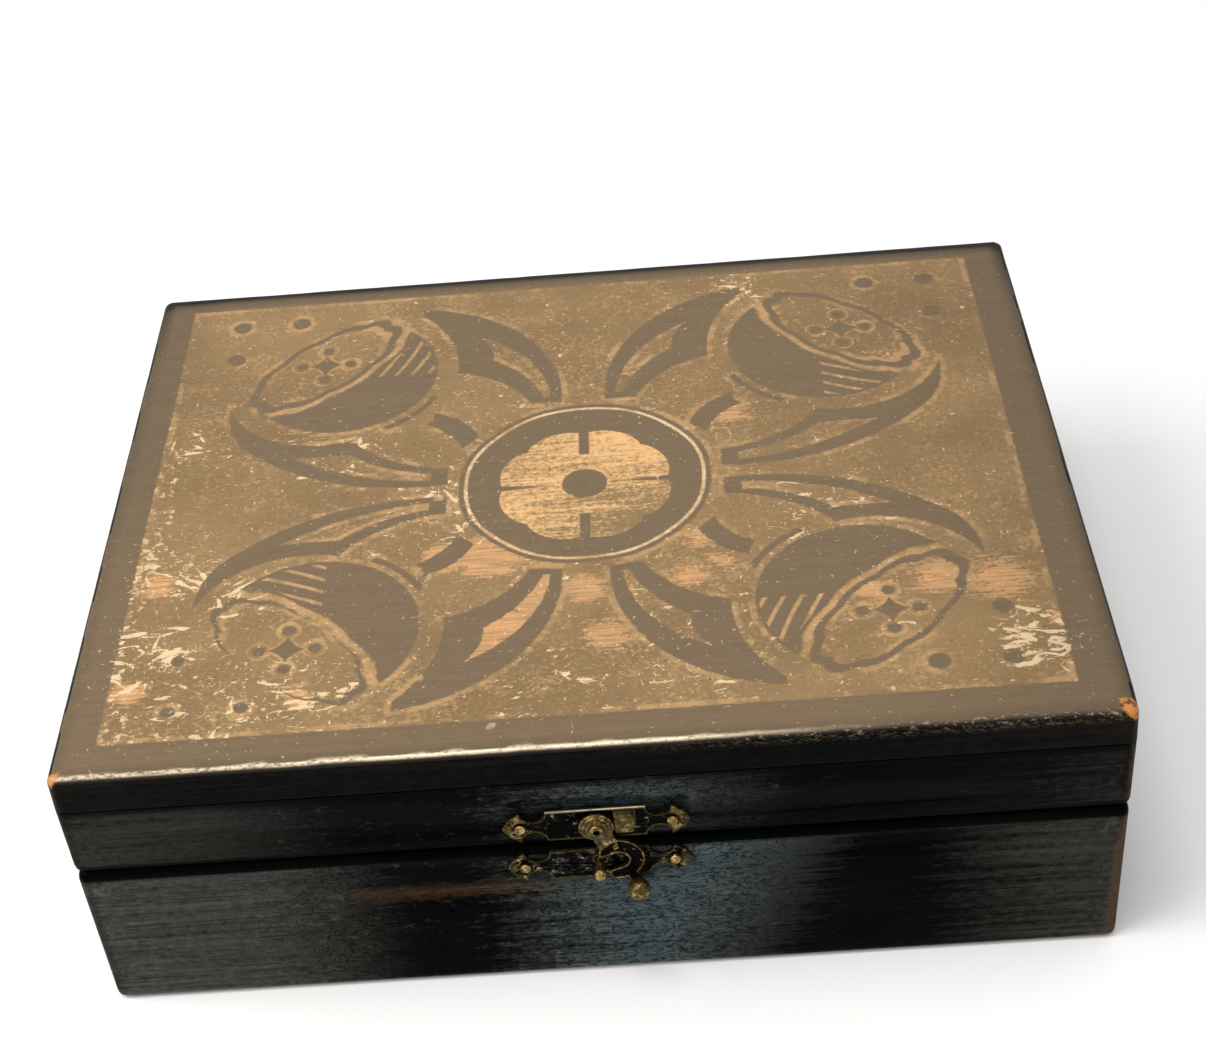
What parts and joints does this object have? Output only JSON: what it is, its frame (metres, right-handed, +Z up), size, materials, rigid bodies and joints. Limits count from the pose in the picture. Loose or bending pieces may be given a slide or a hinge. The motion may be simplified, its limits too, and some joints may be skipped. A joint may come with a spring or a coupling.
{
  "type": "cigar box",
  "caption": "Rectangular finger-jointed wooden box with a hinged lid, painted dark with a stencilled top, held by a small brass swing-hook latch.",
  "frame": {"origin": "centre of the box's underside", "axes": "+X to the box's right seen from the front, along its width; +Y from the latch side to the hinges; +Z up through the lid"},
  "size_m": [0.23, 0.1936, 0.0725],
  "materials": {
    "black_painted_wood": "glossy black paint over grained wood, worn brown at the corners",
    "stained_top": "khaki-brown stain with darker stencilled ornament and border, satin",
    "bare_wood": "plain unfinished wood",
    "worn_brass": "worn, partly tarnished",
    "tarnished_brass": "sheet brass with dark paint and tarnish, bright edges"
  },
  "bodies": {
    "base": {"base_front": "black_painted_wood", "base_back": "black_painted_wood", "base_left": "black_painted_wood", "base_right": "black_painted_wood", "base_bottom": "bare_wood", "latch_keeper_plate": "tarnished_brass", "latch_keeper_post": "worn_brass", "keeper_nail_left": "worn_brass", "keeper_nail_right": "worn_brass", "hinge_base_leaf_left": "tarnished_brass", "hinge_pin_left": "worn_brass", "hinge_base_nail_left_outer": "worn_brass", "hinge_base_nail_left_inner": "worn_brass", "hinge_base_leaf_right": "tarnished_brass", "hinge_pin_right": "worn_brass", "hinge_base_nail_right_outer": "worn_brass", "hinge_base_nail_right_inner": "worn_brass"},
    "lid": {"lid_front": "black_painted_wood", "lid_back": "black_painted_wood", "lid_left": "black_painted_wood", "lid_right": "black_painted_wood", "lid_top": "stained_top", "latch_upper_plate": "tarnished_brass", "latch_rivet": "worn_brass", "upper_nail_left": "worn_brass", "upper_nail_right": "worn_brass", "hinge_lid_leaf_left": "tarnished_brass", "hinge_lid_nail_left_outer": "worn_brass", "hinge_lid_nail_left_inner": "worn_brass", "hinge_lid_leaf_right": "tarnished_brass", "hinge_lid_nail_right_outer": "worn_brass", "hinge_lid_nail_right_inner": "worn_brass"},
    "hook": {"latch_hook": "worn_brass"}
  },
  "joints": [
    {"name": "lid_hinge", "type": "hinge", "parent": "base", "child": "lid", "pos_m": [0, 0.0935, 0.0432], "axis": [-1, 0, 0], "range_deg": [0, 180]},
    {"name": "hook_swing", "type": "hinge", "parent": "lid", "child": "hook", "pos_m": [0, -0.0915, 0.0503], "axis": [0, -1, 0], "range_deg": [-21, 10]}
  ]
}
